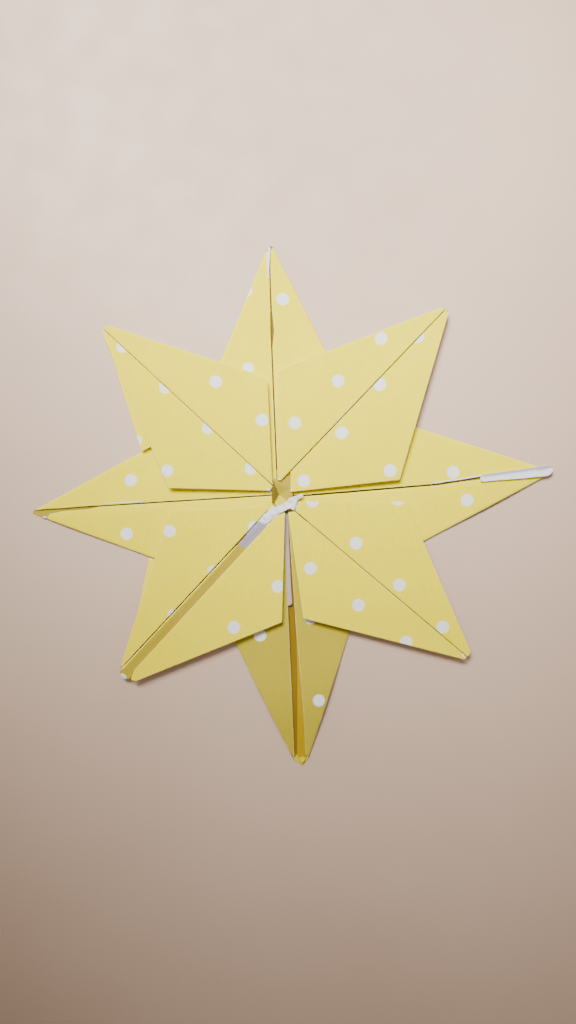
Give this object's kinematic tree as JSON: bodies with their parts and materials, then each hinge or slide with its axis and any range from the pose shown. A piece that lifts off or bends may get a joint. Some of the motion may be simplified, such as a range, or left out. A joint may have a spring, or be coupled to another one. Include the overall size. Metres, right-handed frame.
{
  "type": "folded paper star decoration",
  "caption": "Flat folded paper star with alternating long and kite-shaped points; each kite is split into two flaps that lift up like pages.",
  "frame": {"origin": "middle of the back, on the face that rests on a table or wall", "axes": "+Z out of the back towards the viewer, through the thin direction; +Y towards the north point, +X towards the east point"},
  "size_m": [0.1529, 0.1526, 0.0034],
  "materials": {
    "dotted_paper": "matt yellow paper printed with white dots, white core at folds and raw edges",
    "white_paper": "matt unprinted back of the paper",
    "printed_band": "matt, plain grey printed band between yellow and white"
  },
  "bodies": {
    "star_base": {"centre_back": "dotted_paper", "north_back": "dotted_paper", "north_half_west_side": "dotted_paper", "north_half_east_side": "dotted_paper", "west_back": "dotted_paper", "west_half_south_side": "dotted_paper", "west_half_north_side": "dotted_paper", "south_back": "dotted_paper", "south_half_east_side": "dotted_paper", "south_half_west_side": "dotted_paper", "east_back": "dotted_paper", "east_half_north_side": "dotted_paper", "east_half_south_side": "dotted_paper", "ne_back": "dotted_paper", "nw_back": "dotted_paper", "sw_back": "dotted_paper", "se_back": "dotted_paper", "sw_inner_pleat": "printed_band", "south_inner_pleat": "printed_band", "east_tip_curl": "white_paper"},
    "ne_north_flap": {"ne_flap_north_side_face": "dotted_paper", "ne_flap_north_side_lining": "dotted_paper"},
    "ne_east_flap": {"ne_flap_east_side_face": "dotted_paper", "ne_flap_east_side_lining": "dotted_paper"},
    "nw_north_flap": {"nw_flap_north_side_face": "dotted_paper", "nw_flap_north_side_lining": "dotted_paper"},
    "nw_west_flap": {"nw_flap_west_side_face": "dotted_paper", "nw_flap_west_side_lining": "dotted_paper"},
    "sw_south_flap": {"sw_flap_south_side_face": "dotted_paper", "sw_flap_south_side_lining": "dotted_paper"},
    "sw_west_flap": {"sw_flap_west_side_face": "dotted_paper", "sw_flap_west_side_lining": "dotted_paper"},
    "se_south_flap": {"se_flap_south_side_face": "dotted_paper", "se_flap_south_side_lining": "dotted_paper"},
    "se_east_flap": {"se_flap_east_side_face": "dotted_paper", "se_flap_east_side_lining": "dotted_paper"}
  },
  "joints": [
    {"name": "ne_north_crease", "type": "hinge", "parent": "star_base", "child": "ne_north_flap", "pos_m": [-0.0006, 0.00481, 0.00343], "axis": [0.7404, 0.6722, 0], "range_deg": [0, 80]},
    {"name": "ne_east_crease", "type": "hinge", "parent": "star_base", "child": "ne_east_flap", "pos_m": [0.0024, 0.00709, 0.00343], "axis": [-0.7401, -0.6725, 0], "range_deg": [0, 80]},
    {"name": "nw_north_crease", "type": "hinge", "parent": "star_base", "child": "nw_north_flap", "pos_m": [-0.00279, 0.0035, 0.00343], "axis": [0.6852, -0.7284, 0], "range_deg": [0, 80]},
    {"name": "nw_west_crease", "type": "hinge", "parent": "star_base", "child": "nw_west_flap", "pos_m": [-0.00301, 0.0033, 0.00343], "axis": [-0.6852, 0.7284, 0], "range_deg": [0, 80]},
    {"name": "sw_south_crease", "type": "hinge", "parent": "star_base", "child": "sw_south_flap", "pos_m": [-0.0028, -0.00551, 0.00343], "axis": [-0.7275, -0.6861, 0], "range_deg": [0, 80]},
    {"name": "sw_west_crease", "type": "hinge", "parent": "star_base", "child": "sw_west_flap", "pos_m": [-0.004, -0.00249, 0.00343], "axis": [0.73, 0.6835, 0], "range_deg": [0, 80]},
    {"name": "se_south_crease", "type": "hinge", "parent": "star_base", "child": "se_south_flap", "pos_m": [0.0028, -0.00441, 0.00343], "axis": [-0.7162, 0.6979, 0], "range_deg": [0, 80]},
    {"name": "se_east_crease", "type": "hinge", "parent": "star_base", "child": "se_east_flap", "pos_m": [0.003, -0.00419, 0.00343], "axis": [0.7162, -0.6979, 0], "range_deg": [0, 80]}
  ]
}
